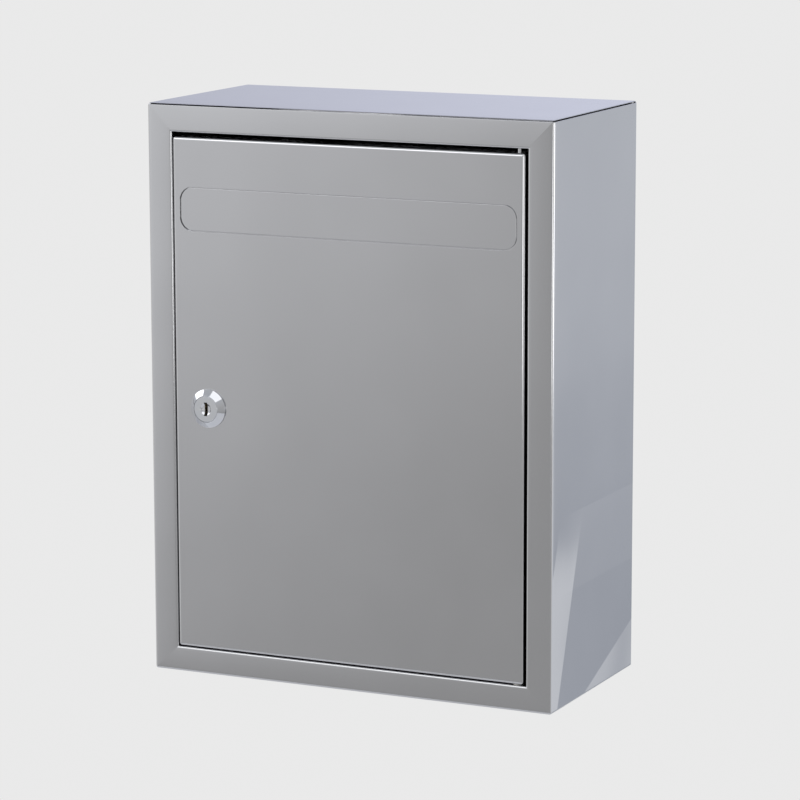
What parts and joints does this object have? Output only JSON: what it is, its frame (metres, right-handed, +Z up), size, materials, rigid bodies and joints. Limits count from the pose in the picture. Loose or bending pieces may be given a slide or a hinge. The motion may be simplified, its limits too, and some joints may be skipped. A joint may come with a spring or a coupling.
{
  "type": "wall mounted mailbox",
  "caption": "Rectangular folded stainless steel mailbox with a flush side-hung door, a push-in letter flap and a cam lock, for screwing to a wall.",
  "frame": {"origin": "centre of the four wall holes, on the outer face of the back panel", "axes": "+Y into the wall, so that the door faces -Y; +Z up; +X to the right when facing the door"},
  "size_m": [0.25, 0.1236, 0.33],
  "materials": {
    "satin_steel": "satin stainless steel sheet",
    "bright_steel": "bright drawn stainless wire and rod",
    "zinc_plate": "bright zinc plated steel",
    "chrome": "polished chrome plate on die-cast zinc",
    "brass": "stamped brass",
    "nylon": "natural nylon",
    "rubber": "black rubber"
  },
  "bodies": {
    "box": {"body_shell": "satin_steel", "back_panel": "satin_steel", "upper_hinge_bracket": "satin_steel", "lower_hinge_bracket": "satin_steel", "hinge_washer": "nylon", "upper_door_stop": "satin_steel", "lower_door_stop": "satin_steel", "stop_bumpers": "rubber"},
    "door": {"door_panel": "satin_steel", "upper_hinge_plate": "satin_steel", "lower_hinge_plate": "satin_steel", "upper_hinge_pin": "bright_steel", "lower_hinge_pin": "bright_steel", "left_flap_bracket": "satin_steel", "right_flap_bracket": "satin_steel", "flap_rod": "bright_steel", "rod_clips": "zinc_plate", "left_flap_spring": "bright_steel", "right_flap_spring": "bright_steel", "lock_housing": "chrome", "lock_nut": "zinc_plate"},
    "flap": {"flap_face": "satin_steel", "flap_backing": "satin_steel"},
    "lock_cylinder": {"lock_plug": "chrome", "lock_wafers": "brass", "stop_washer": "zinc_plate", "lock_cam": "zinc_plate", "cam_washer": "zinc_plate", "cam_nut": "zinc_plate"}
  },
  "joints": [
    {"name": "door_swing", "type": "hinge", "parent": "box", "child": "door", "pos_m": [0.1034, -0.1164, 0], "axis": [0, 0, 1], "range_deg": [0, 110]},
    {"name": "flap_swing", "type": "hinge", "parent": "door", "child": "flap", "pos_m": [-0.00065, -0.114, 0.126], "axis": [1, 0, 0], "range_deg": [0, 65], "stiffness_Nm_per_rad": 0.02, "springref_deg": -34.38, "deforming": ["left_flap_spring", "right_flap_spring"]},
    {"name": "lock_turn", "type": "hinge", "parent": "door", "child": "lock_cylinder", "pos_m": [-0.0878, -0.11, -0.0084], "axis": [0, 1, 0], "range_deg": [0, 90]}
  ]
}
